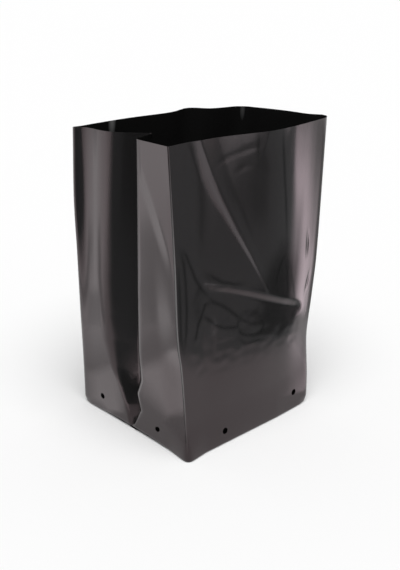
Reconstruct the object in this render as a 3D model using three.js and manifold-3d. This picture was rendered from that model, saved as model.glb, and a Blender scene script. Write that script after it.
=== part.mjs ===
// Gusseted black film bag for nursery plants, opened out and standing empty on its folded base.
// One length of blown tube: front and back faces, a gusset in each side, a seal across the bottom.
// Millimetres, Z up. The origin is on the ground, under the middle of the base.

import * as THREE from 'three';
import { mergeVertices } from 'three/addons/utils/BufferGeometryUtils.js';
import Module from 'manifold-3d';

// The film and the folded tube
const FACE = 161; // width of the front and back faces at the base
const GUSSET = 153; // width of each side gusset, opened out
const HEIGHT = 280; // from the base fold to the cut mouth, along the film
const FILM = 0.1; // film thickness
const CORNER = 13; // film that turns on each side of a base corner, except at the sharp front-left fold

// How far the mouth stands from the base corner below it, to the right and to the back
const FRONT_LEFT_LEAN = [-16, 1];
const FRONT_RIGHT_LEAN = [13, 0];
const BACK_RIGHT_LEAN = [16, -42];
const BACK_LEFT_LEAN = [-25, -27];
const BACK_LEFT_TURN = [15, -16]; // from the back-left corner to where the left gusset starts
const FRONT_BOW = 10; // the front rim bows outwards by this
const RIGHT_BOW = 6; // the right rim bows inwards by this
const BACK_BOW = 12; // the back rim bows outwards by this
const MOUTH_ROUND = 14; // soft bends at the mouth's corners, except the sharp front-left fold

// Where each rim bows: a share of the way along, anticlockwise, and the share of the bow that it has there
const FRONT_RIM = [[0.18, -0.15], [0.385, 0.46], [0.605, 1], [0.755, 0.57]];
const RIGHT_RIM = [[0.22, 0.95], [0.4, 0.7], [0.65, 0.33]];
const BACK_RIM = [[0.07, 0.04], [0.2, 0.18], [0.29, 1], [0.42, 0.35], [0.67, 0.25]];

// The left gusset is still half tucked. At each height, the strip's edge, the valley and the back edge
// lie this far behind the gusset's middle fold, and the valley reaches this deep inwards
const TUCK_LEVELS = [
  { height: 0, strip: -3, valley: 0, depth: 0, back: 3 },
  { height: 24, strip: -15, valley: -4, depth: 6, back: 4 },
  { height: 42, strip: -11, valley: -2, depth: 8, back: 9 },
  { height: 61, strip: -20, valley: -5, depth: 10, back: 13 },
  { height: 85, strip: -19, valley: -4, depth: 13, back: 20 },
  { height: HEIGHT, strip: -33.5, valley: -24, depth: 24, back: 3 },
];

// Two sharp creases in the front face. Each runs between two points of the face, given by distance to
// the right of the base corner and by distance up to the mouth. It stands out by its rise at each end,
// or is pressed in where that is less than nothing, and fades over its reach above and below
const CREASES = [
  { from: [21, 3], to: [97, 142], rise: [2.6, 0.4], above: 30, below: 12 },
  { from: [20, 117], to: [138, 174], rise: [-0.4, -1.6], above: 8, below: 36 },
];
const WAIST = 5.5; // the front-right bend is pressed back by this much
const WAIST_RISE = 72; // at this height
const WAIST_UP = 200; // fading out over this height above
const WAIST_DOWN = 60; // and over this height below
const WAIST_FRONT = 49; // and over this distance along the front face
const WAIST_SIDE = 90; // and over this distance along the right gusset

// Drain holes, by distance from the nearest edge of the face or gusset, and by height
const HOLE = 6;
const LEFT_HOLE = [45, 13];
const RIGHT_HOLE = [22, 18];
const FRONT_HOLE = [39, 15];
const BACK_HOLE = [34, 17];
const HOLE_SIDES = 12;

// The base: faces folded under to a seal across the bag, its skirt lying flat under the middle, and the
// gusset ends tucked on top
const SKIRT = 10; // film left beyond the seal
const SKIRT_LAYERS = 2;
const TUCK_LAYERS = 2;
const FOOT_CLEAR = 0.2; // the skirt and the tucks stay this far inside the wall's foot

// How finely the film is divided: along each of the outline's six curves, across the tuck, and between
// the tuck's heights
const CURVE_STEPS = [24, 4, 7, 4, 16, 4];
const TUCK_STEPS = [5, 2, 2, 5];
const HEIGHT_STEPS = [2, 2, 2, 2, 18];

const wasm = await Module();
wasm.setup();

// A closed three.js geometry as a solid that can be joined and cut
function toSolid(geometry) {
  const bare = geometry.clone();
  bare.deleteAttribute('normal');
  bare.deleteAttribute('uv');
  const tolerance = FILM / 100;
  const merged = mergeVertices(bare, tolerance);
  const mesh = new wasm.Mesh({
    numProp: 3,
    vertProperties: new Float32Array(merged.attributes.position.array),
    triVerts: new Uint32Array(merged.index.array),
  });
  return new wasm.Manifold(mesh);
}

function toGeometry(solid) {
  const mesh = solid.getMesh();
  const geometry = new THREE.BufferGeometry();
  geometry.setAttribute('position', new THREE.BufferAttribute(mesh.vertProperties, 3));
  geometry.setIndex(new THREE.BufferAttribute(mesh.triVerts, 1));
  geometry.computeVertexNormals();
  return geometry;
}

// A flat piece of film, from its outline, its underside height and its thickness
function flatPiece(outline, underside, thickness) {
  const piece = new THREE.ExtrudeGeometry(new THREE.Shape(outline), {
    depth: thickness,
    bevelEnabled: false,
  });
  piece.translate(0, 0, underside);
  return toSolid(piece);
}

// The base outline from the front-left fold round to the left gusset: three sides and their corners
function baseOutline() {
  return new THREE.Path()
    .moveTo(0, 0)
    .lineTo(FACE - CORNER, 0)
    .bezierCurveTo(FACE, 0, FACE, 0, FACE, CORNER)
    .lineTo(FACE, GUSSET - CORNER)
    .bezierCurveTo(FACE, GUSSET, FACE, GUSSET, FACE - CORNER, GUSSET)
    .lineTo(CORNER, GUSSET)
    .bezierCurveTo(0, GUSSET, 0, GUSSET, 0, GUSSET - CORNER);
}

// The mouth outline, drawn with six curves that match the base's one for one
function mouthOutline() {
  const frontLeft = new THREE.Vector2(...FRONT_LEFT_LEAN);
  const frontRight = new THREE.Vector2(FACE + FRONT_RIGHT_LEAN[0], FRONT_RIGHT_LEAN[1]);
  const backRight = new THREE.Vector2(FACE + BACK_RIGHT_LEAN[0], GUSSET + BACK_RIGHT_LEAN[1]);
  const backLeft = new THREE.Vector2(BACK_LEFT_LEAN[0], GUSSET + BACK_LEFT_LEAN[1]);
  const between = (from, to, share, out) => {
    const way = new THREE.Vector2().subVectors(to, from).normalize();
    return from.clone().lerp(to, share).add(new THREE.Vector2(way.y, -way.x).multiplyScalar(out));
  };
  const towards = (from, to, distance) => between(from, to, distance / from.distanceTo(to), 0);
  const frontEnd = towards(frontRight, frontLeft, MOUTH_ROUND);
  const rightStart = towards(frontRight, backRight, MOUTH_ROUND);
  const rightEnd = towards(backRight, frontRight, MOUTH_ROUND);
  const backEnd = towards(backLeft, backRight, MOUTH_ROUND);
  const leftStart = backLeft.clone().add(new THREE.Vector2(...BACK_LEFT_TURN));
  const frontRim = FRONT_RIM.map(([along, bow]) => between(frontLeft, frontRight, along, bow * FRONT_BOW));
  const rightRim = RIGHT_RIM.map(([along, bow]) => between(frontRight, backRight, along, -bow * RIGHT_BOW));
  const backRim = BACK_RIM.map(([along, bow]) => between(backRight, backLeft, along, bow * BACK_BOW));
  const backStart = backRim.shift();
  return new THREE.Path()
    .moveTo(frontLeft.x, frontLeft.y)
    .splineThru([...frontRim, frontEnd])
    .quadraticCurveTo(frontRight.x, frontRight.y, rightStart.x, rightStart.y)
    .splineThru([...rightRim, rightEnd])
    .quadraticCurveTo(backRight.x, backRight.y, backStart.x, backStart.y)
    .splineThru([...backRim, backEnd])
    .quadraticCurveTo(backLeft.x, backLeft.y, leftStart.x, leftStart.y);
}

// Points along an outline, evenly spaced on each of its curves
function spaced(outline) {
  const runs = outline.curves.map((curve, i) => curve.getSpacedPoints(CURVE_STEPS[i]));
  return runs.flatMap((points, i) => (i === 0 ? points : points.slice(1)));
}

// Straight film lines run from the base to the mouth, and each one keeps its length, so a line that
// leans further ends lower
const basePoints = spaced(baseOutline()).map((p) => new THREE.Vector3(p.x, p.y, 0));
const mouthPoints = spaced(mouthOutline()).map((p, i) => {
  const lean = Math.hypot(p.x - basePoints[i].x, p.y - basePoints[i].y);
  return new THREE.Vector3(p.x, p.y, Math.sqrt(HEIGHT ** 2 - lean ** 2));
});

// The levels that the film is divided into: each one's share of the height, and the tuck's sizes there
function divisions() {
  const mixed = (low, high, share) => {
    const sizes = Object.keys(low).map((size) => [size, THREE.MathUtils.lerp(low[size], high[size], share)]);
    return Object.fromEntries(sizes);
  };
  const tucks = HEIGHT_STEPS.flatMap((steps, k) =>
    Array.from({ length: steps }, (_, i) => mixed(TUCK_LEVELS[k], TUCK_LEVELS[k + 1], i / steps)),
  );
  return [...tucks, TUCK_LEVELS.at(-1)];
}

// The creases as lines across the front face, from end to end
const creases = CREASES.map((crease) => ({
  ...crease,
  from: new THREE.Vector2(crease.from[0], HEIGHT - crease.from[1]),
  to: new THREE.Vector2(crease.to[0], HEIGHT - crease.to[1]),
}));

// Draws a film line or a level that passes close to a crease onto it, so that the crease is one edge.
// A steep crease draws sideways, and a flatter one up or down
function drawnOnto(crease, point, sideways, upwards) {
  const { from, to } = crease;
  const slope = (to.y - from.y) / (to.x - from.x);
  const x = from.x + (point.z - from.y) / slope;
  const z = from.y + (point.x - from.x) * slope;
  const steep = Math.abs(slope) > 1;
  if (steep && Math.abs(point.x - x) < sideways / 2 && point.z > to.y) {
    point.x = x;
  }
  if (!steep && Math.abs(point.z - z) < upwards / 2 && point.x > from.x && point.x < to.x) {
    point.z = z;
  }
}

// How far a crease moves the front face outwards at a point of it
function creaseRise(crease, point) {
  const way = new THREE.Vector2().subVectors(crease.to, crease.from);
  const offset = new THREE.Vector2(point.x, point.z).sub(crease.from);
  const along = THREE.MathUtils.clamp(offset.dot(way) / way.lengthSq(), 0, 1);
  const reach = way.cross(offset) > 0 ? crease.above : crease.below;
  const away = offset.addScaledVector(way, -along).length();
  return THREE.MathUtils.lerp(...crease.rise, along) * Math.max(0, 1 - away / reach);
}

// Presses the waist into the front-right bend
function waisted(point) {
  const { smoothstep } = THREE.MathUtils;
  const acrossFront = smoothstep(point.x, FACE - WAIST_FRONT, FACE);
  const alongSide = 1 - smoothstep(point.y, 0, WAIST_SIDE);
  const above = point.z - WAIST_RISE;
  const upAndDown = above > 0 ? above / WAIST_UP : -above / WAIST_DOWN;
  point.y += WAIST * acrossFront * alongSide * Math.max(0, 1 - upAndDown);
}

// One level of the wall, anticlockwise from the front-left fold
function level(tuck, row, tucks) {
  const share = tuck.height / HEIGHT;
  const ring = basePoints.map((p, i) => p.clone().lerp(mouthPoints[i], share));
  const sideways = FACE / CURVE_STEPS[0];
  const rightEnd = CURVE_STEPS[0] + CURVE_STEPS[1] + CURVE_STEPS[2];
  const edge = row === 0 || row === tucks.length - 1;
  const upwards = edge ? 0 : tucks[row + 1].height - tuck.height;
  ring.slice(1, CURVE_STEPS[0]).forEach((point) => {
    creases.forEach((crease) => drawnOnto(crease, point, sideways, upwards));
    point.y -= creases.reduce((sum, crease) => sum + creaseRise(crease, point), 0);
  });
  ring.slice(0, rightEnd).forEach(waisted);
  const front = ring[0];
  const back = ring[ring.length - 1];
  const side = new THREE.Vector3().subVectors(back, front).normalize();
  const inwards = new THREE.Vector3(side.y, -side.x, 0);
  const onSide = (distance) => front.clone().addScaledVector(side, GUSSET / 2 + distance);
  const valley = onSide(tuck.valley).addScaledVector(inwards, tuck.depth);
  const keys = [back, onSide(tuck.back), valley, onSide(tuck.strip), front];
  TUCK_STEPS.forEach((steps, k) => {
    for (let i = k === 0 ? 1 : 0; i < steps; i += 1) {
      ring.push(keys[k].clone().lerp(keys[k + 1], i / steps));
    }
  });
  return ring;
}

const levels = divisions().map(level);
const columns = levels[0].length;
const rows = levels.length;

// The four corner indices of the film between two levels and two film lines
function cell(row, column, first) {
  const next = (column + 1) % columns;
  const low = first + row * columns;
  const high = low + columns;
  return [low + column, low + next, high + next, high + column];
}

// The film's outer side alone, for its normals
function outerSide() {
  const faces = [];
  for (let row = 0; row < rows - 1; row += 1) {
    for (let column = 0; column < columns; column += 1) {
      const [a, b, c, d] = cell(row, column, 0);
      faces.push(a, b, d, b, c, d);
    }
  }
  const geometry = new THREE.BufferGeometry().setFromPoints(levels.flat());
  geometry.setIndex(faces);
  geometry.computeVertexNormals();
  return geometry;
}

// The standing wall: the outer side, the inner side one film thickness in, the cut rim and the base edge
function wall() {
  const outer = outerSide();
  const normals = outer.attributes.normal;
  const outside = levels.flat();
  const inside = outside.map((point, i) => {
    const inner = point.clone();
    inner.addScaledVector(new THREE.Vector3().fromBufferAttribute(normals, i), -FILM);
    inner.z = i < columns ? 0 : inner.z;
    return inner;
  });
  const first = outside.length;
  const faces = Array.from(outer.index.array);
  for (let row = 0; row < rows - 1; row += 1) {
    for (let column = 0; column < columns; column += 1) {
      const [a, b, c, d] = cell(row, column, first);
      faces.push(a, d, b, b, d, c);
    }
  }
  const top = (rows - 1) * columns;
  for (let column = 0; column < columns; column += 1) {
    const next = (column + 1) % columns;
    faces.push(top + column, top + next, first + top + next);
    faces.push(top + column, first + top + next, first + top + column);
    faces.push(column, first + next, next);
    faces.push(column, first + column, first + next);
  }
  const geometry = new THREE.BufferGeometry().setFromPoints([...outside, ...inside]);
  geometry.setIndex(faces);
  return { solid: toSolid(geometry), foot: outside.slice(0, columns), innerFoot: inside.slice(0, columns) };
}

// The folded base: the face ends side by side, the sealed skirt lying flat below them, and the gusset
// ends as triangles lying on top. Each layer bites half a film into the one below, so that they join
function base(foot, innerFoot) {
  const outline = foot.map((p, i) => new THREE.Vector2(p.x, p.y).lerp(innerFoot[i], 0.5));
  const middle = GUSSET / 2;
  const left = FOOT_CLEAR;
  const right = FACE - FOOT_CLEAR;
  const floorHeight = SKIRT_LAYERS * FILM;
  const floor = flatPiece(outline, floorHeight, FILM);
  const skirtOutline = [
    new THREE.Vector2(left, middle - SKIRT / 2),
    new THREE.Vector2(right, middle - SKIRT / 2),
    new THREE.Vector2(right, middle + SKIRT / 2),
    new THREE.Vector2(left, middle + SKIRT / 2),
  ];
  const skirt = flatPiece(skirtOutline, 0, floorHeight + FILM / 2);
  const tucks = [[left, middle], [right, FACE - middle]].map(([side, point]) => {
    const outlineOfTuck = [
      new THREE.Vector2(side, CORNER),
      new THREE.Vector2(point, middle),
      new THREE.Vector2(side, GUSSET - CORNER),
    ];
    return flatPiece(outlineOfTuck, floorHeight + FILM / 2, (TUCK_LAYERS + 0.5) * FILM);
  });
  return tucks.reduce((joined, tuck) => joined.add(tuck), floor.add(skirt));
}

// A punch through one wall, which passes well beyond it and stays clear of the wall opposite
function punch(x, y, z, turn) {
  const reach = Math.min(FACE, GUSSET) / 4;
  const cylinder = new THREE.CylinderGeometry(HOLE / 2, HOLE / 2, reach, HOLE_SIDES);
  cylinder.rotateZ(turn);
  cylinder.translate(x, y, z);
  return toSolid(cylinder);
}

// The same holes in the front and back faces, and the same in both gussets
function drainHoles() {
  const faceHoles = [LEFT_HOLE, [FACE - RIGHT_HOLE[0], RIGHT_HOLE[1]]];
  const gussetHoles = [FRONT_HOLE, [GUSSET - BACK_HOLE[0], BACK_HOLE[1]]];
  const quarter = Math.PI / 2;
  const onFaces = faceHoles.flatMap(([x, z]) => [punch(x, 0, z, 0), punch(x, GUSSET, z, 0)]);
  const onGussets = gussetHoles.flatMap(([y, z]) => [punch(0, y, z, quarter), punch(FACE, y, z, quarter)]);
  return [...onFaces, ...onGussets];
}

function filmBag() {
  const standing = wall();
  const folded = standing.solid.add(base(standing.foot, standing.innerFoot));
  const punched = drainHoles().reduce((bag, hole) => bag.subtract(hole), folded);
  const film = new THREE.MeshStandardMaterial({ color: 0x242223, roughness: 0.3, metalness: 0 });
  const bag = new THREE.Mesh(toGeometry(punched), film);
  bag.name = 'film_bag';
  bag.position.set(-FACE / 2, -GUSSET / 2, 0);
  return bag;
}

const nurseryBag = new THREE.Group();
nurseryBag.add(filmBag());

export default nurseryBag;
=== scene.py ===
from math import cos, hypot, inf, pi, radians, sin, sqrt

import bmesh
import bpy
from mathutils import Matrix, Vector, noise
from mathutils.geometry import interpolate_bezier


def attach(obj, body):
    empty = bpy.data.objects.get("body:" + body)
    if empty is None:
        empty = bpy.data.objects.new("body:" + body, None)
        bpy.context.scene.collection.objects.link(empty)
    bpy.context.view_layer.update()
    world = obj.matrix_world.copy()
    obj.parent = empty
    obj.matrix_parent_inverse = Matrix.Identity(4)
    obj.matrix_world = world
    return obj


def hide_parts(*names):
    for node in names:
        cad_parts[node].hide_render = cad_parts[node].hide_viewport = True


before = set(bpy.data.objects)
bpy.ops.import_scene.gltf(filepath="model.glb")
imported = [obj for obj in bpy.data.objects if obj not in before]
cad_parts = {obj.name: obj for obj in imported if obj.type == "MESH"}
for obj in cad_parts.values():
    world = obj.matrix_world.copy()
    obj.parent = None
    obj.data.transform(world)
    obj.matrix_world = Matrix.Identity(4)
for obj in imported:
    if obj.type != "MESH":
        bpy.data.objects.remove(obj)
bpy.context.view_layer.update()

# The bag's shape. One length of blown polyethylene tube has a gusset folded into each side. It was cut
# square at the mouth, sealed across the bottom and punched with drain holes while it lay flat. Here it
# is opened out and stands on its folded base. Film sizes are in millimetres, as the film is cut.
MM = 0.001
FACE = 161  # width of the front and back faces
GUSSET = 153  # width of each side gusset, opened out
HEIGHT = 280  # from the base fold to the mouth, along the film
FILM = 0.1  # thickness
BASE_CORNER = 5  # how far the base's corners are rounded
BASE_FOLD = 1.5  # how far the fold between the base and the wall is rounded
BASE_TURN = 25  # how far the base that is turned under comes in from the wall
FLOOR_FILM = 0.2  # the foot stands this high, on the skirt under the base
CORNER_RUN, LEFT_RUN = 13, 22  # film that turns on each side of a base corner

# How finely the film is divided, along its outline and up the wall
FRONT_STEPS, CORNER_STEPS, RIGHT_STEPS, BACK_STEPS = 146, 12, 16, 26
FOLD_ROWS, WALL_ROWS = 3, 149
CURVE_POINTS = 25
SAME_PLACE = 1e-4

# The mouth, seen from above: to the right of the base's front-left corner, and behind it
MOUTH_FRONT = [
    (-16, 1), (1, 2.1), (18, 2.3), (37.5, -0.7), (57, -4), (77, -7.2), (97, -9.4), (117, -8.6), (137, -5.4),
    (150, -2.9), (163, 0),
]
MOUTH_FRONT_RIGHT = (174.5, 2.5)
MOUTH_RIGHT = [(175, 13), (169, 24), (171, 45), (174, 72), (177, 98)]
MOUTH_BACK_RIGHT = (177, 111)
MOUTH_BACK = [(163, 112.5), (137, 116), (118, 127), (91, 121.5), (41, 124), (-8, 124)]
MOUTH_LEFT = [(-8, 124), (-16.5, 124), (-13.2, 118.8), (-11.5, 114.6), (-10.4, 109.7), (-10, 103)]


def evenly(line, steps):
    """Points at even distances along a line of closely spaced ones."""
    lengths = [0.0]
    for start, end in zip(line, line[1:]):
        lengths.append(lengths[-1] + (end - start).length)
    points, k = [], 0
    for i in range(steps + 1):
        wanted = lengths[-1] * i / steps
        while k < len(line) - 2 and lengths[k + 1] < wanted:
            k += 1
        points.append(line[k].lerp(line[k + 1], (wanted - lengths[k]) / (lengths[k + 1] - lengths[k])))
    return points


def flat(points):
    return [Vector((x, y, 0)) for x, y in points]


def smooth_line(points, steps):
    """A smooth line through points, as evenly spaced points."""
    line = []
    for i, (start, end) in enumerate(zip(points, points[1:])):
        before = points[max(i - 1, 0)]
        after = points[min(i + 2, len(points) - 1)]
        leave, arrive = start + (end - before) / 6, end - (after - start) / 6
        line += interpolate_bezier(start, leave, arrive, end, CURVE_POINTS)[:-1]
    return evenly(line + [points[-1]], steps)


def towards(start, end, distance):
    return start + (end - start).normalized() * distance


def soft_corner(start, corner, end, steps, reach=inf):
    """A bend from start to end round a corner, rounded as far as its reach."""
    bend_start = towards(corner, start, min(reach, (start - corner).length))
    bend_end = towards(corner, end, min(reach, (end - corner).length))
    leave, arrive = bend_start.lerp(corner, 2 / 3), bend_end.lerp(corner, 2 / 3)
    line = [start, *interpolate_bezier(bend_start, leave, arrive, bend_end, CURVE_POINTS), end]
    return evenly([p for p, q in zip(line, line[1:]) if (p - q).length > SAME_PLACE] + [end], steps)


def outline(lines):
    """One run of points from lines that follow on from each other."""
    return lines[0] + [point for line in lines[1:] for point in line[1:]]


def base_outline():
    front_left, front_right, back_right, back_left = flat([(0, 0), (FACE, 0), (FACE, GUSSET), (0, GUSSET)])
    front_end = towards(front_right, front_left, CORNER_RUN)
    right_start = towards(front_right, back_right, CORNER_RUN)
    right_end = towards(back_right, front_right, CORNER_RUN)
    back_start = towards(back_right, back_left, CORNER_RUN)
    back_end = towards(back_left, back_right, CORNER_RUN)
    left_start = towards(back_left, front_left, LEFT_RUN)
    return outline([
        evenly([front_left, front_end], FRONT_STEPS),
        soft_corner(front_end, front_right, right_start, CORNER_STEPS, BASE_CORNER),
        evenly([right_start, right_end], RIGHT_STEPS),
        soft_corner(right_end, back_right, back_start, CORNER_STEPS, BASE_CORNER),
        evenly([back_start, back_end], BACK_STEPS),
        soft_corner(back_end, back_left, left_start, CORNER_STEPS, BASE_CORNER),
    ])


def mouth_outline():
    front, right, back, left = (flat(line) for line in (MOUTH_FRONT, MOUTH_RIGHT, MOUTH_BACK, MOUTH_LEFT))
    front_right, back_right = flat([MOUTH_FRONT_RIGHT, MOUTH_BACK_RIGHT])
    return outline([
        smooth_line(front, FRONT_STEPS),
        soft_corner(front[-1], front_right, right[0], CORNER_STEPS),
        smooth_line(right, RIGHT_STEPS),
        soft_corner(right[-1], back_right, back[0], CORNER_STEPS),
        smooth_line(back, BACK_STEPS),
        smooth_line(left, CORNER_STEPS),
    ])


# Film lines run straight from the base to the mouth and keep their length, so one that leans ends lower
base_line = base_outline()
mouth_line = mouth_outline()
for low, high in zip(base_line, mouth_line):
    high.z = sqrt(HEIGHT**2 - (high - low).length_squared)

# The half-tucked left gusset: strip edge, valley and back edge behind the gusset's middle fold, the
# valley's depth, and the length of the soft bend at the back edge, at each height
TUCK_LEVELS = [
    {"height": 0, "strip": -3, "valley": 0, "depth": 0, "back": 3, "bend": 2},
    {"height": 10, "strip": -8, "valley": -2, "depth": 6, "back": 4, "bend": 2.5},
    {"height": 24, "strip": -15, "valley": -4, "depth": 11, "back": 6, "bend": 3},
    {"height": 42, "strip": -11, "valley": -3, "depth": 13, "back": 12, "bend": 4},
    {"height": 58, "strip": -19.5, "valley": -3, "depth": 12.3, "back": 19, "bend": 6},
    {"height": 85, "strip": -19, "valley": -4, "depth": 13, "back": 25.5, "bend": 10},
    {"height": 110, "strip": -20.5, "valley": -7, "depth": 14.5, "back": 27, "bend": 9},
    {"height": 150, "strip": -23, "valley": -11, "depth": 17, "back": 24, "bend": 11},
    {"height": HEIGHT, "strip": -33.5, "valley": -24, "depth": 24, "back": 4, "bend": 16},
]
STRIP_BEND = 5
BACK_BEND_SHARE, STRIP_BEND_SHARE = 0.7, 0.3  # the most of its side that a bend may take
TUCK_STEPS = {"back": 18, "back_bend": 9, "inner": 10, "outer": 8, "strip_bend": 5, "strip": 28}


def between(levels, height):
    """The sizes at a height, between the levels that are listed for them."""
    for low, high in zip(levels, levels[1:]):
        if height <= high["height"]:
            share = (height - low["height"]) / (high["height"] - low["height"])
            return {size: low[size] + share * (high[size] - low[size]) for size in low}
    return levels[-1]


def tucked_side(front, back, height):
    """The left gusset from the back corner round to the front-left fold, at one height."""
    tuck = between(TUCK_LEVELS, height)
    side = (back - front).normalized()
    inwards = Vector((side.y, -side.x, 0))
    back_edge = front + side * (GUSSET / 2 + tuck["back"])
    strip_edge = front + side * (GUSSET / 2 + tuck["strip"])
    valley = front + side * (GUSSET / 2 + tuck["valley"]) + inwards * tuck["depth"]
    back_bend = min(tuck["bend"], BACK_BEND_SHARE * (back_edge - valley).length)
    strip_bend = min(STRIP_BEND, STRIP_BEND_SHARE * (strip_edge - valley).length)
    bend_start, bend_end = towards(back_edge, back, back_bend), towards(back_edge, valley, back_bend)
    edge_start, edge_end = towards(strip_edge, valley, strip_bend), towards(strip_edge, front, strip_bend)
    return outline([
        evenly([back, bend_start], TUCK_STEPS["back"]),
        soft_corner(bend_start, back_edge, bend_end, TUCK_STEPS["back_bend"]),
        evenly([bend_end, valley], TUCK_STEPS["inner"]),
        evenly([valley, edge_start], TUCK_STEPS["outer"]),
        soft_corner(edge_start, strip_edge, edge_end, TUCK_STEPS["strip_bend"]),
        evenly([edge_end, front], TUCK_STEPS["strip"]),
    ])


# Creases by points along them: distance across the face, height, how far the film stands out there, and
# how far the crease reaches to its left and to its right, on the way from its first point
FRONT_CREASES = {
    "long ridge from the rim": [
        (17, 281, 2, 16, 12), (22, 267, 1.85, 16, 11), (28.5, 251, 1.65, 15, 10), (37.5, 233, 1.4, 14, 8.5),
        (54, 204, 1, 12, 6.5), (72, 175, 0.8, 8, 4.5), (93.5, 138, 0.55, 4, 2),
    ],
    "groove under the ridge": [
        (14, 158, 0, 8, 20), (30, 150, -1, 7, 25), (45, 145.5, -1.9, 7, 30), (70, 136, -2.1, 7, 36),
        (95, 125.5, -2, 7, 38), (122, 114, -1.7, 7, 34), (135, 108.5, -1.1, 7, 24), (146, 103, 0, 6, 12),
    ],
    "flare at the rim": [(84, 284, 3, 28, 46), (80, 266, 1.1, 26, 42), (76, 252, 0, 22, 38)],
    "dent under the flare": [
        (30, 256, 0, 4, 2.5), (45, 262.5, -0.2, 4, 2.5), (66, 267, -0.2, 4, 2.5), (86, 270, 0, 4, 2.5),
    ],
    "second dent under the flare": [(50, 249, 0, 4, 2.5), (60, 252, -0.18, 4, 2.5), (74, 254, 0, 4, 2.5)],
    "curved edge of the slack film": [
        (-3, 194, 0, 3, 12), (8, 176, 0.35, 3, 14), (26, 161, 0.4, 3, 14), (46, 153, 0, 3, 10),
    ],
    "slit in the bend": [(147, 182, 0, 1.6, 1.6), (147.5, 165, -0.3, 1.6, 1.6), (148, 150, 0, 1.6, 1.6)],
    "second slit in the bend": [
        (155, 140, 0, 1.6, 1.6), (152, 128, -0.3, 1.6, 1.6), (149, 116, 0, 1.6, 1.6),
    ],
}
STRIP_CREASES = {
    "diagonal across the strip": [(40, 266, 0.3, 12, 26), (17, 218, 0.8, 12, 24), (2, 178, 0.2, 10, 16)],
}
CREST = 0.8  # how far a crease's crest is rounded
CREASE_FALL = 1.5  # how steeply a crease falls away from its crest
FOLD_CLEAR = 6  # creases fade out this close to the front-left fold


def crease_rise(points, across, height):
    """How far a crease moves the film outwards at one place."""
    best = (inf, 0, 1)
    for (x, z, *start), (end_x, end_z, *end) in zip(points, points[1:]):
        way_x, way_z = end_x - x, end_z - z
        off_x, off_z = across - x, height - z
        along = min(1, max(0, (off_x * way_x + off_z * way_z) / (way_x**2 + way_z**2)))
        away = hypot(off_x - along * way_x, off_z - along * way_z)
        if away < best[0]:
            rise, to_left, to_right = (a + along * (b - a) for a, b in zip(start, end))
            best = (away, rise, to_left if way_x * off_z > way_z * off_x else to_right)
    away, rise, reach = best
    return rise * max(0, 1 - (hypot(away, CREST) - CREST) / reach) ** CREASE_FALL


def smooth_step(share):
    share = min(1, max(0, share))
    return share * share * (3 - 2 * share)


def curve_through(points, height):
    """The value at a height, on a smooth curve through points of height and value."""
    k = max(i for i, point in enumerate(points[:-1]) if point[0] <= height)
    before, low, high, after = (points[min(max(i, 0), len(points) - 1)] for i in range(k - 1, k + 3))
    run = high[0] - low[0]
    slopes = [(b[1] - a[1]) / (b[0] - a[0]) * run for a, b in ((before, high), (low, after))]
    place = [Vector((v, 0, 0)) for v in (low[1], low[1] + slopes[0] / 3, high[1] - slopes[1] / 3, high[1])]
    share = (height - low[0]) / run
    while len(place) > 1:
        place = [a.lerp(b, share) for a, b in zip(place, place[1:])]
    return place[0].x


# By height: how far the front-right bend rolls back and swells to the right, and how far the sharp
# front-left fold sways to the right
ROLL = [(0, 0), (30, 1.2), (72, 5.5), (110, 3.8), (150, 1.7), (HEIGHT, 0)]
SWELL = [(0, 1), (60, 1.2), (100, 3), (150, 3.8), (220, 3.4), (HEIGHT, 2.8)]
ROLL_START, ROLL_SIDE = 114, 90
SWAY = [(0, 0), (35, 1.4), (65, 1.1), (90, 0.4), (109, -1.4), (133, -1.8), (184, -0.3), (HEIGHT, 0)]
SWAY_REACH = 30

# By height: how far the left panel stands out at the back-left corner, and the facet beside that corner.
# Both rise over the corner's first film lines, and the facet ends some lines further on
LEFT_SWELL = [(0, 0), (60, 1), (110, 1.8), (165, 1.2), (HEIGHT, 0)]
FACET = [(0, 0), (110, 0), (165, 1.5), (213, 2.4), (HEIGHT, 0)]
FACET_TOP, FACET_END = 3, 8

# The slack film under the groove hangs in small waves, which fade out inside these edges
SLACK_LEFT, SLACK_LEFT_FADE = -2, 20
SLACK_RIGHT, SLACK_RIGHT_FADE = 150, 14
SLACK_TOP, SLACK_TOP_DROP, SLACK_TOP_FADE = 158, 0.36, 14
SLACK_FOOT, SLACK_FOOT_FADE = 66, 22
WAVE_LONG, WAVE_TALL, WAVE_RISE = 11, 8, 0.22

# The left base edge stands off the ground between its corners
LIFT, LIFT_RISE, LIFT_ACROSS = 2.2, 50, 40
LIFT_START, LIFT_FRONT, LIFT_BACK = 12, 45, 60

# The front's foot stands forward a little. The front-left corner is drawn out to an ear, and the foot of
# its fold is blunt. Two other base corners are rounded off
FLARE, FLARE_RISE = 2, 40
EAR, EAR_RISE, EAR_REACH = 2.5, 30, 25
BLUNT, BLUNT_RISE = 7, 30
ROUND, ROUND_RISE, ROUND_REACH = 1.8, 8, 14
ROUNDED = [Vector((FACE, 0)), Vector((0, GUSSET))]


def slack(across, height):
    """Waves in the slack film, which fade out round its edge."""
    left = smooth_step((across - SLACK_LEFT) / SLACK_LEFT_FADE)
    right = smooth_step((SLACK_RIGHT - across) / SLACK_RIGHT_FADE)
    top = smooth_step((SLACK_TOP - SLACK_TOP_DROP * across - height) / SLACK_TOP_FADE)
    foot = smooth_step((height - SLACK_FOOT) / SLACK_FOOT_FADE)
    wave = noise.noise(Vector((across / WAVE_LONG, 0, height / WAVE_TALL)))
    return WAVE_RISE * left * right * top * foot * wave


def front_rise(across, height):
    creases = sum(crease_rise(points, across, height) for points in FRONT_CREASES.values())
    return slack(across, height) + creases


def fading(size, height, rise):
    """A size at the foot that fades out as the wall rises."""
    return size * (1 - smooth_step(height / rise))


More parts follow.
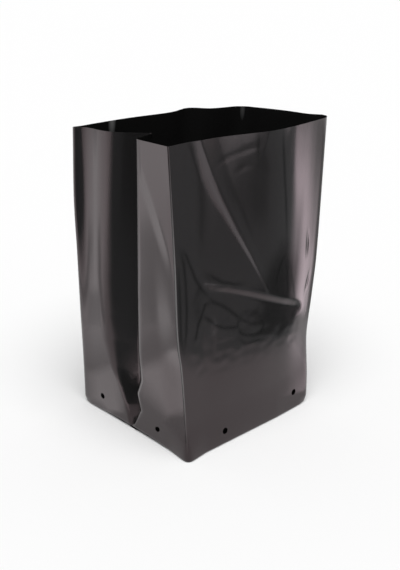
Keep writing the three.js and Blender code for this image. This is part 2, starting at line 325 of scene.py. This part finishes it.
def level(height, inset):
    """The whole wall at one height, from the front-left fold round and back to it."""
    share = height / HEIGHT
    ring = [low.lerp(high, share) for low, high in zip(base_line, mouth_line)]
    left_swell, facet = (curve_through(curve, height) for curve in (LEFT_SWELL, FACET))
    for step, point in enumerate(ring[-CORNER_STEPS - 1:]):
        rising, falling = step / FACET_TOP, (FACET_END - step) / (FACET_END - FACET_TOP)
        point.x -= left_swell * min(1, rising) + facet * max(0, min(rising, falling))
    ring = outline([ring, tucked_side(ring[0], ring[-1], height)])
    roll, swell, sway = (curve_through(curve, height) for curve in (ROLL, SWELL, SWAY))
    flare = fading(FLARE, height, FLARE_RISE)
    ear = fading(EAR, height, EAR_RISE)
    blunt = fading(BLUNT, height, BLUNT_RISE)
    middle = Vector((FACE / 2, GUSSET / 2, 0))
    fold = ring[0].copy()
    for column, point in enumerate(ring):
        in_front = column <= FRONT_STEPS + CORNER_STEPS
        on_strip = column > len(ring) - TUCK_STEPS["strip"]
        from_fold = (fold - point).length
        if in_front:
            point.y -= front_rise(point.x, point.z) * smooth_step(from_fold / FOLD_CLEAR)
        if column <= FRONT_STEPS + CORNER_STEPS + RIGHT_STEPS:
            turned = min(1, max(0, (point.x - ROLL_START) / (FACE - ROLL_START)))
            behind = 1 - smooth_step(point.y / ROLL_SIDE)
            point.y += roll * turned**2 * behind
            point.x += swell * turned**2 * behind
        if on_strip:
            rises = [crease_rise(points, point.y, point.z) for points in STRIP_CREASES.values()]
            point.x -= sum(rises) * smooth_step(from_fold / FOLD_CLEAR)
        if in_front or on_strip:
            point.x += sway * (1 - smooth_step(from_fold / SWAY_REACH))
            drawn = 1 - smooth_step(from_fold / EAR_REACH)
            point.x -= ear * drawn
            point.y -= ear * drawn + flare * (drawn if on_strip else 1 - turned)
            if from_fold < blunt:
                point.xy += Vector((1, 1)) * (blunt - from_fold) ** 2 / (4 * blunt)
    for point in ring:
        along = smooth_step((point.y - LIFT_START) / LIFT_FRONT) * smooth_step((GUSSET - point.y) / LIFT_BACK)
        under = max(0, 1 - inset / BASE_TURN) * smooth_step(1 - point.x / LIFT_ACROSS)
        near_corner = max(1 - smooth_step((point.xy - corner).length / ROUND_REACH) for corner in ROUNDED)
        rounded = fading(ROUND, height, ROUND_RISE) * near_corner
        point.xy += (middle - point).xy.normalized() * rounded
        away = point - middle
        point.x -= inset * max(-1, min(1, away.x / (FACE / 2 - inset)))
        point.y -= inset * max(-1, min(1, away.y / (GUSSET / 2 - inset)))
        point.z += fading(LIFT, height, LIFT_RISE) * along * under + FLOOR_FILM * (1 - share)
    return ring


# The wall's levels: the base comes out from under the bag, the fold turns up and the wall stands on it
levels = [level(0, BASE_TURN)]
for row in range(FOLD_ROWS):
    turn = pi / 2 * row / FOLD_ROWS
    levels.append(level(BASE_FOLD * (1 - cos(turn)), BASE_FOLD * (1 - sin(turn))))
for row in range(WALL_ROWS + 1):
    levels.append(level(BASE_FOLD + (HEIGHT - BASE_FOLD) * row / WALL_ROWS, 0))
COLUMNS = len(levels[0]) - 1
ROWS = len(levels) - 1


def film_place(column, row):
    """A point of the film between its lines and levels, in metres from under the middle of the base."""
    left, low = min(int(column), COLUMNS - 1), min(int(row), ROWS - 1)
    below = levels[low][left].lerp(levels[low][left + 1], column - left)
    above = levels[low + 1][left].lerp(levels[low + 1][left + 1], column - left)
    return (below.lerp(above, row - low) - Vector((FACE / 2, GUSSET / 2, 0))) * MM


# The wall is one grid of film, which takes its drain holes while it is flat, as the real film does
film = bmesh.new()
bmesh.ops.create_grid(film, x_segments=COLUMNS, y_segments=ROWS, size=1)
for vert in film.verts:
    vert.co = Vector(((vert.co.x + 1) / 2 * COLUMNS, (vert.co.y + 1) / 2 * ROWS, 0))

HOLE = 6
FACE_HOLES = [(45, 13), (FACE - 22, 18)]
GUSSET_HOLES = [(39, 15), (GUSSET - 34, 17)]
HOLE_REGION = 1.8  # the film is divided more finely as far as this many times the hole's radius


def punch(x, y, height, first, last):
    """Cuts a round hole into the flat film, between two film lines, with its edge on a true circle."""
    row = 1 + FOLD_ROWS + (height - BASE_FOLD) / (HEIGHT - BASE_FOLD) * WALL_ROWS
    low = int(row)
    place = Vector((x, y, height))
    column = min(range(first, last), key=lambda c: (levels[low][c] - place).length)
    wide = (levels[low][column + 1] - levels[low][column]).length
    tall = (levels[low + 1][column] - levels[low][column]).length
    centre = Vector((column, row, 0))

    def distance(point):
        away = point - centre
        return Vector((away.x * wide, away.y * tall)).length / (HOLE / 2)

    around = [f for f in film.faces if distance(f.calc_center_median()) < HOLE_REGION]
    edges = list({edge for face in around for edge in face.edges})
    bmesh.ops.subdivide_edges(film, edges=edges, cuts=2, use_grid_fill=True)
    waste = [f for f in film.faces if distance(f.calc_center_median()) < 1]
    rim = {v for f in waste for v in f.verts if any(other not in waste for other in v.link_faces)}
    bmesh.ops.delete(film, geom=waste, context="FACES")
    for vert in rim:
        vert.co = centre + (vert.co - centre) / distance(vert.co)


right_first = FRONT_STEPS + CORNER_STEPS
back_first = right_first + RIGHT_STEPS + CORNER_STEPS
left_first = back_first + BACK_STEPS + CORNER_STEPS
for across, height in FACE_HOLES:
    punch(across, 0, height, 0, FRONT_STEPS)
    punch(across, GUSSET, height, back_first, left_first)
for across, height in GUSSET_HOLES:
    punch(0, across, height, left_first, COLUMNS)
    punch(FACE, across, height, right_first, back_first)

# Hairline creases, where the gloss is broken, by distance across the face and height
HAIRLINES = {
    "from the rim to the triangle": [(100, 281), (103, 262), (105.5, 246), (111.5, 210), (116.5, 172)],
    "right edge of the flare": [(72.5, 281), (73.5, 270), (75, 254)],
    "left side of the triangle": [(117, 168), (109, 159), (105, 148), (102, 136)],
    "right side of the triangle": [(117, 168), (119, 147), (121, 134), (122, 123), (104, 130)],
    "along the bend": [(123, 155), (128, 137), (133, 121), (136, 113)],
    "beside the fold": [(-5, 196), (-1, 183), (1, 165), (2, 143), (1, 121), (-2, 104)],
    "close to the fold": [(-7, 180), (-6, 163), (-5, 118), (-2, 104)],
    "slack film's upper edge": [(-4, 196), (2, 189), (7, 178), (12, 166), (19, 156), (27, 147)],
    "arc over the groove": [(24, 169), (32, 163), (41, 157), (54, 152), (66, 150)],
    "slack film's dip": [(27, 147), (32, 141), (41, 136), (49, 130), (58, 122), (67, 114)],
    "down from the dip": [(32, 141), (23, 141), (19, 132), (15, 126), (12, 114), (9, 111)],
    "loop in the slack film": [(19, 132), (26, 127), (34, 120), (44, 114), (59, 111), (61, 119)],
    "lower edge": [(60, 112), (63, 104), (70, 100), (80, 98), (87, 98), (91, 104), (87, 111)],
    "lowest edge": [(60, 100), (69, 92), (85, 91), (98, 88)],
}
HAIR, HAIR_END = 2.4, 0.3  # how far a hairline reaches to each side, and how strong it is at its ends

# The sharp front-left fold is whitened where it was bent, and carries a painted highlight along it in the
# same pale grey. It fades in above the foot and out below the rim
FOLD_WHITENING_AND_HIGHLIGHT, FOLD_HIGHLIGHT_FOOT, FOLD_HIGHLIGHT_RIM = 0.7, 90, 120

hairline = film.verts.layers.float.new("hairline")
fold_whitening_and_highlight = film.verts.layers.float.new("fold_whitening_and_highlight")
hairs = []
for line in HAIRLINES.values():
    hairs.append([(x, z, HAIR_END if (x, z) in (line[0], line[-1]) else 1, HAIR, HAIR) for x, z in line])
for vert in film.verts:
    in_front = vert.co.x <= FRONT_STEPS
    on_fold = vert.co.x < 0.5 or vert.co.x > COLUMNS - 0.5
    vert.co = film_place(vert.co.x, vert.co.y)
    across, height = vert.co.x / MM + FACE / 2, vert.co.z / MM
    # Along the fold the pale grey is both whitening and a painted highlight
    if on_fold:
        above_foot, below_rim = height / FOLD_HIGHLIGHT_FOOT, (HEIGHT - height) / FOLD_HIGHLIGHT_RIM
        vert[fold_whitening_and_highlight] = FOLD_WHITENING_AND_HIGHLIGHT * smooth_step(above_foot) * smooth_step(below_rim)
    if in_front:
        vert[hairline] = max(crease_rise(hair, across, height) for hair in hairs)
MERGED = 0.005
bmesh.ops.remove_doubles(film, verts=film.verts, dist=MERGED * MM)

# The base closes the foot of the wall. The seal's skirt lies flat under it, two films thick, and the
# gusset ends lie on it as folded triangles, short of the wall and of the middle.
SKIRT = 10
END_INSET, END_SHORT, END_TIP = 2, 7, 4
foot = [e for e in film.edges if e.is_boundary and max(v.co.z for v in e.verts) < FLOOR_FILM * 2 * MM]
floor_film = bmesh.ops.contextual_create(film, geom=foot)["faces"]
bmesh.ops.triangulate(film, faces=floor_film)
for layer in range(2):
    place = Matrix.Translation((0, 0, layer * FILM * MM)) @ Matrix.Diagonal((1, -1, 1, 1))
    strip = Matrix.Diagonal(((FACE / 2 - BASE_FOLD) * MM, SKIRT / 2 * MM, 1, 1))
    bmesh.ops.create_grid(film, x_segments=32, y_segments=2, size=1, matrix=place @ strip)
for side in (-1, 1):
    for layer in range(1, 3):
        height = FLOOR_FILM + FILM * (layer + 1.5)
        edge, half = side * (FACE / 2 - END_INSET), GUSSET / 2 - END_SHORT
        corners = [(edge, -half), (side * END_TIP, 0), (edge, half)]
        film.faces.new([film.verts.new((x * MM, y * MM, height * MM)) for x, y in corners[::side]])
for face in film.faces:
    face.smooth = True
for edge in film.edges:
    edge.smooth = not edge.is_boundary
film_mesh = bpy.data.meshes.new("film_bag_film")
film.to_mesh(film_mesh)
film.free()
film_bag = bpy.data.objects.new("film_bag_film", film_mesh)
bpy.context.scene.collection.objects.link(film_bag)
thickness = film_bag.modifiers.new("film_thickness", "SOLIDIFY")
thickness.thickness = FILM * MM
thickness.offset = -1

# The film is low-density polyethylene, blown and filled with carbon black. It gives the eye almost no
# colour of its own: what shows is a clear, slightly warm reflection, drawn out by faint lines from the die.
# The lines are drawn coarser than real ones, so that they show.
# The pale grey is laid on the whitened fold, with a painted highlight there, and on two streaks of painted
# highlight at the back of the rim
FILM_BLACK, FILM_WHITENED_AND_HIGHLIT, FILM_SHEEN = "#181818", "#8a8a8a", "#ffe4e9"
DIE_LINE, DIE_DRAWN, DIE_RELIEF = 5, 0.02, 0.015
HAZE, SMOOTHEST, ROUGHEST = 40, 0.10, 0.18
GLOSS, BROKEN_GLOSS = 0.5, 0.15


def linear(colour):
    """An sRGB hex value as linear red, green, blue and alpha."""
    parts = [int(colour[i:i + 2], 16) / 255 for i in (1, 3, 5)]
    return (*(c / 12.92 if c <= 0.04045 else ((c + 0.055) / 1.055) ** 2.4 for c in parts), 1)


def add_node(tree, kind, settings=(), **inputs):
    """Adds a node with its settings, and sets or links its inputs, named with _ for a space."""
    node = tree.nodes.new(kind)
    for name, value in dict(settings).items():
        setattr(node, name, value)
    for name, value in inputs.items():
        socket = node.inputs[name.replace("_", " ")]
        if isinstance(value, bpy.types.NodeSocket):
            tree.links.new(value, socket)
        else:
            socket.default_value = value
    return node


black_film = bpy.data.materials.new("black_polyethylene_film")
black_film.use_nodes = True
tree = black_film.node_tree
tree.nodes.clear()
place = add_node(tree, "ShaderNodeTexCoord").outputs["Object"]
drawn = add_node(tree, "ShaderNodeMapping", Vector=place, Scale=(1, 1, DIE_DRAWN)).outputs["Vector"]
die_lines = add_node(tree, "ShaderNodeTexNoise", Vector=drawn, Scale=1 / (DIE_LINE * MM), Detail=3.0)
relief = add_node(
    tree, "ShaderNodeBump", Height=die_lines.outputs["Fac"], Strength=1.0, Distance=DIE_RELIEF * MM,
)
haze = add_node(tree, "ShaderNodeTexNoise", Vector=place, Scale=1 / (HAZE * MM), Detail=4.0)
roughness = add_node(
    tree, "ShaderNodeMapRange", Value=haze.outputs["Fac"], To_Min=SMOOTHEST, To_Max=ROUGHEST,
)
broken = add_node(tree, "ShaderNodeAttribute", {"attribute_name": "hairline"}).outputs["Fac"]
gloss = add_node(tree, "ShaderNodeMapRange", Value=broken, To_Min=GLOSS, To_Max=BROKEN_GLOSS)

# The fold is whitened where the film was stretched, with a painted highlight along it; the two streaks that
# start at the back of the rim are painted highlights
HIGHLIGHT_STREAKS = [(-54.5, 47.5), (95, 34)]
STREAK, STREAK_TOP, STREAK_DRAWN = 4.6, 282, 0.2
along = add_node(tree, "ShaderNodeMapping", Vector=place, Scale=(1, 1, STREAK_DRAWN)).outputs["Vector"]
white = add_node(tree, "ShaderNodeAttribute", {"attribute_name": "fold_whitening_and_highlight"}).outputs["Fac"]
for x, y in HIGHLIGHT_STREAKS:
    away = add_node(tree, "ShaderNodeVectorMath", {"operation": "DISTANCE"}, Vector=along)
    away.inputs[1].default_value = (x * MM, y * MM, STREAK_TOP * STREAK_DRAWN * MM)
    highlight_streak = add_node(
        tree, "ShaderNodeMapRange",
        Value=away.outputs["Value"], From_Max=STREAK * MM, To_Min=1.0, To_Max=0.0,
    )
    whiter = add_node(tree, "ShaderNodeMath", {"operation": "MAXIMUM"}, Value=white)
    tree.links.new(highlight_streak.outputs["Result"], whiter.inputs[1])
    white = whiter.outputs["Value"]
# Pale grey mixed into the black: whitening and painted highlight on the fold, painted highlight in the
# streaks
colour = add_node(tree, "ShaderNodeMix", {"data_type": "RGBA"}, Factor=white)
colour.inputs[6].default_value = linear(FILM_BLACK)
colour.inputs[7].default_value = linear(FILM_WHITENED_AND_HIGHLIT)
film_surface = add_node(
    tree, "ShaderNodeBsdfPrincipled",
    Base_Color=colour.outputs[2], Roughness=roughness.outputs["Result"], IOR=1.52,
    Specular_IOR_Level=gloss.outputs["Result"], Specular_Tint=linear(FILM_SHEEN),
    Normal=relief.outputs["Normal"],
)
add_node(tree, "ShaderNodeOutputMaterial", Surface=film_surface.outputs["BSDF"])
film_mesh.materials.append(black_film)

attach(film_bag, "root")
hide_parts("film_bag")

# The floor is a pale matt board that runs past the view on all sides. It is staging, and takes the bag's
# soft shadow.
FLOOR_HALF = 12
floor_shape = bmesh.new()
bmesh.ops.create_grid(floor_shape, x_segments=1, y_segments=1, size=FLOOR_HALF)
floor_mesh = bpy.data.meshes.new("floor")
floor_shape.to_mesh(floor_mesh)
floor_shape.free()
floor = bpy.data.objects.new("floor", floor_mesh)
bpy.context.scene.collection.objects.link(floor)
white_board = bpy.data.materials.new("matt_white_board")
white_board.use_nodes = True
tree = white_board.node_tree
tree.nodes.clear()
board = add_node(
    tree, "ShaderNodeBsdfPrincipled",
    Base_Color=linear("#f6f6f6"), Roughness=1.0, Specular_IOR_Level=0.0,
)
add_node(tree, "ShaderNodeOutputMaterial", Surface=board.outputs["BSDF"])
floor_mesh.materials.append(white_board)

# The light is a wide soft source overhead and a dim even surround, which the camera sees as white. Sheets
# on the floor round the bag, which only its gloss sees, give it its bright and dark fields.
SURROUND, SEEN_SURROUND = (0.3, 0.3, 0.3, 1), (0.985, 0.985, 0.985, 1)
sky = bpy.data.worlds.new("studio")
bpy.context.scene.world = sky
sky.use_nodes = True
tree = sky.node_tree
tree.nodes.clear()
seen = add_node(tree, "ShaderNodeLightPath").outputs["Is Camera Ray"]
shade = add_node(tree, "ShaderNodeMix", {"data_type": "RGBA"}, Factor=seen)
shade.inputs[6].default_value = SURROUND
shade.inputs[7].default_value = SEEN_SURROUND
background = add_node(tree, "ShaderNodeBackground", Color=shade.outputs[2])
add_node(tree, "ShaderNodeOutputWorld", Surface=background.outputs["Background"])
sun = bpy.data.lights.new("overhead", "SUN")
sun.energy = 2.7
sun.angle = radians(50)
overhead = bpy.data.objects.new("overhead", sun)
overhead.rotation_euler = (radians(20), radians(-15), 0)
bpy.context.scene.collection.objects.link(overhead)

# The first sheet lies this far above the floor, and each next one a step above the last
SHEET_CLEAR, SHEET_STEP = 0.5, 0.1
sheets = []


def sheet_below(name, colour, light, lit, faded):
    """Lays a sheet that only reflections see, by its corners where its light is full and where it ends."""
    shape = bmesh.new()
    fade = shape.verts.layers.float.new("fade")
    height = (SHEET_CLEAR + SHEET_STEP * len(sheets)) * MM
    inner = [shape.verts.new((x * MM, y * MM, height)) for x, y in lit]
    outer = [shape.verts.new((x * MM, y * MM, height)) for x, y in faded]
    for vert in inner:
        vert[fade] = 1
    shape.faces.new(inner)
    for i in range(len(lit)):
        shape.faces.new([inner[i - 1], outer[i - 1], outer[i], inner[i]])
    mesh = bpy.data.meshes.new(name)
    shape.to_mesh(mesh)
    shape.free()
    sheet = bpy.data.objects.new(name, mesh)
    bpy.context.scene.collection.objects.link(sheet)
    glow = bpy.data.materials.new(name)
    glow.use_nodes = True
    tree = glow.node_tree
    tree.nodes.clear()
    share = add_node(tree, "ShaderNodeAttribute", {"attribute_name": "fade"}).outputs["Fac"]
    glowing = add_node(tree, "ShaderNodeEmission", Color=linear(colour), Strength=light).outputs["Emission"]
    clear = add_node(tree, "ShaderNodeBsdfTransparent").outputs["BSDF"]
    mixed = add_node(tree, "ShaderNodeMixShader", Fac=share)
    tree.links.new(clear, mixed.inputs[1])
    tree.links.new(glowing, mixed.inputs[2])
    add_node(tree, "ShaderNodeOutputMaterial", Surface=mixed.outputs["Shader"])
    mesh.materials.append(glow)
    sheet.visible_camera = False
    sheet.visible_diffuse = False
    sheet.visible_shadow = False
    sheet.visible_transmission = False
    sheets.append(sheet)


sheet_below(
    "dark_sheet_right", "#f1ffff", 0.42,
    [(75, -240), (130, -210), (165, -186), (240, -165), (330, -210), (1300, -760), (1300, -1500),
     (760, -1500), (290, -860), (165, -520), (110, -300)],
    [(40, -186), (90, -170), (168, -140), (240, -125), (330, -165), (1500, -640), (1700, -1800),
     (700, -1800), (230, -900), (110, -520), (60, -300)],
)
sheet_below(
    "dim_sheet_right", "#f1ffff", 0.2,
    [(350, -600), (370, -700), (420, -830), (600, -980), (640, -940), (450, -760), (400, -640),
     (370, -580)],
    [(310, -540), (320, -720), (380, -900), (760, -1160), (830, -1040), (500, -760), (460, -640),
     (370, -520)],
)
sheet_below(
    "black_sheet_right", "#f1ffff", 0.1,
    [(180, -300), (185, -240), (225, -195), (320, -180), (420, -250), (420, -320), (300, -330)],
    [(150, -320), (150, -225), (205, -165), (320, -150), (480, -240), (480, -360), (300, -380)],
)
sheet_below(
    "bright_sheet_right", "#fff4fa", 4.4,
    [(290, -142), (400, -198), (564, -277), (620, -300), (660, -316), (660, -330), (620, -312),
     (564, -287), (400, -208), (290, -152)],
    [(262, -98), (402, -158), (580, -238), (800, -315), (1450, -560), (1450, -850), (740, -403),
     (541, -311), (385, -243), (262, -178)],
)
sheet_below(
    "bright_sheet_near", "#fff8fc", 2.0,
    [(95, -95), (120, -106), (190, -124), (200, -115), (120, -93)],
    [(72, -102), (118, -124), (195, -150), (250, -110), (110, -80)],
)
sheet_below(
    "grey_sheet_right", "#ffffff", 0.4,
    [(300, -105), (1400, -440), (1400, 300), (260, 20)],
    [(240, -105), (1500, -540), (1500, 500), (200, 60)],
)
sheet_below(
    "bright_sheet_front", "#f1ffff", 1.95,
    [(75, -335), (104, -335), (98, -380), (84, -430), (46, -523), (5, -590), (-8, -680), (60, -760),
     (180, -860), (600, -1700), (100, -1700), (-110, -800), (-60, -600)],
    [(72, -302), (136, -306), (138, -380), (137, -450), (115, -530), (130, -590), (165, -670), (300, -800),
     (450, -920), (750, -1600), (0, -1900), (-230, -800), (-160, -600)],
)
sheet_below(
    "bright_sheet_left", "#fdffff", 1.9,
    [(-215, 200), (-290, 235), (-420, 270), (-640, 340), (-850, 450), (-1000, 700), (-750, 1050),
     (-540, 900), (-310, 420), (-215, 235)],
    [(-150, 105), (-310, 130), (-450, 160), (-700, 210), (-1050, 250), (-1300, 700), (-800, 1300),
     (-420, 900), (-220, 430), (-90, 150)],
)
sheet_below(
    "soft_sheet_left", "#fdffff", 1.2,
    [(-196, 190), (-235, 235), (-262, 262), (-242, 288), (-208, 250), (-186, 208)],
    [(-198, 170), (-250, 222), (-288, 270), (-250, 330), (-192, 265), (-166, 195)],
)
sheet_below(
    "grey_sheet_left", "#fdffff", 0.95,
    [(-232, 152), (-276, 232), (-332, 306), (-395, 390), (-425, 410), (-365, 305), (-303, 225),
     (-250, 152)],
    [(-214, 158), (-254, 245), (-312, 330), (-410, 520), (-520, 480), (-400, 300), (-330, 215),
     (-262, 140)],
)
sheet_below(
    "bright_sheet_low", "#ffffff", 1.8,
    [(-145, 70), (-174, 58), (-168, 30), (-150, -5), (-136, -22), (-126, -14), (-134, 12), (-145, 45)],
    [(-135, 90), (-205, 78), (-195, 20), (-165, -25), (-140, -45), (-110, -20), (-114, 12), (-125, 60)],
)
sheet_below(
    "bright_sheet_foot", "#ffffff", 1.5,
    [(-90, 34), (-100, 50), (-112, 66), (-128, 86), (-132, 100), (-115, 98), (-92, 66), (-86, 42)],
    [(-90, 22), (-110, 44), (-124, 60), (-140, 80), (-150, 115), (-110, 118), (-80, 75), (-78, 35)],
)
sheet_below(
    "dark_sheet_left", "#e8ffff", 0.2,
    [(-240, 30), (-480, 100), (-900, 160), (-1500, 0), (-1400, -700), (-500, -300), (-190, -60)],
    [(-185, 50), (-440, 175), (-750, 270), (-1700, 300), (-1700, -900), (-500, -420), (-130, -80)],
)
sheet_below(
    "black_sheet_left", "#e8ffff", 0.05,
    [(-165, -60), (-200, -42), (-313, -22), (-434, -70), (-720, -210), (-1400, -600), (-1000, -800),
     (-200, -200)],
    [(-140, -55), (-170, -25), (-320, 15), (-460, 0), (-780, -90), (-1600, -400), (-1000, -1000),
     (-160, -240)],
)
sheet_below(
    "black_sheet_foot", "#e8ffff", 0.05,
    [(-168, -24), (-150, -62), (-134, -66), (-124, -54), (-134, -42), (-150, -22)],
    [(-182, -20), (-160, -80), (-132, -82), (-114, -57), (-122, -34), (-150, -8)],
)
sheet_below(
    "dim_sheet_foot", "#ffffff", 0.85,
    [(-120, -46), (-112, -42), (-109, -24), (-117, -22), (-122, -32)],
    [(-130, -58), (-103, -52), (-100, -14), (-119, -14), (-132, -34)],
)

# The camera stands where the photograph's did, fitted to the base corners and the rim. It looks down and
# to the right of straight ahead, by these angles.
LOOK_DOWN, LOOK_RIGHT = 20.878, 42.918
camera_data = bpy.data.cameras.new("camera")
camera_data.lens = 54.316
camera = bpy.data.objects.new("camera", camera_data)
camera.location = (-0.51292, -0.55856, 0.4121)
camera.rotation_euler = (radians(90 - LOOK_DOWN), 0, radians(-LOOK_RIGHT))
bpy.context.scene.collection.objects.link(camera)
bpy.context.scene.camera = camera
bpy.context.scene.view_settings.view_transform = "Standard"
